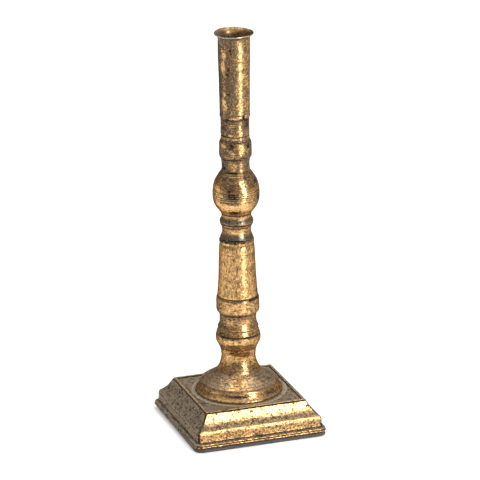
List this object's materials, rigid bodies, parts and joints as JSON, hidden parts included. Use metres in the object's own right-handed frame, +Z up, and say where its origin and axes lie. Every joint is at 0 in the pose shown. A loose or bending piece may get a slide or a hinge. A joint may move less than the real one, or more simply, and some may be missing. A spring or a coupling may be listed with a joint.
{
  "type": "altar candlestick",
  "caption": "Turned brass altar candlestick: flared candle tube over a banded, knopped column on a square moulded base.",
  "frame": {"origin": "centre of the underside, on the surface the candlestick stands on", "axes": "+Z up the stem to the candle socket; X and Y square to the sides of the base"},
  "size_m": [0.112, 0.112, 0.3284],
  "materials": {
    "base_brass": "worn cast brass, bright on the front mouldings, dull grey-brown patina on the flats",
    "foot_brass": "turned brass with brown patina in the hollows",
    "stem_brass": "worn turned brass, speckled with black pitting",
    "knop_brass": "turned brass with fine turning lines and dark patina",
    "socket_brass": "worn brass tube, patchy dark patina and gold flecks",
    "iron": "dark oiled iron",
    "screw_steel": "dull steel",
    "wood": "plain sawn hardwood",
    "felt": "dense dark grey felt"
  },
  "bodies": {
    "root": {"felt_pad": "felt", "base_board": "wood", "board_screws": "screw_steel", "base_shell": "base_brass", "stem_foot": "foot_brass", "ring_bead": "stem_brass", "lower_spool": "stem_brass", "column_band": "stem_brass", "tapered_column": "stem_brass", "cove_collar": "stem_brass", "bead_ring": "stem_brass", "ball_knop": "knop_brass", "neck_spool": "stem_brass", "upper_band": "stem_brass", "rough_collar": "stem_brass", "candle_socket": "socket_brass", "socket_floor": "socket_brass", "tie_rod": "iron", "rod_washer": "iron", "rod_nut": "iron", "top_nut": "iron"}
  },
  "joints": []
}
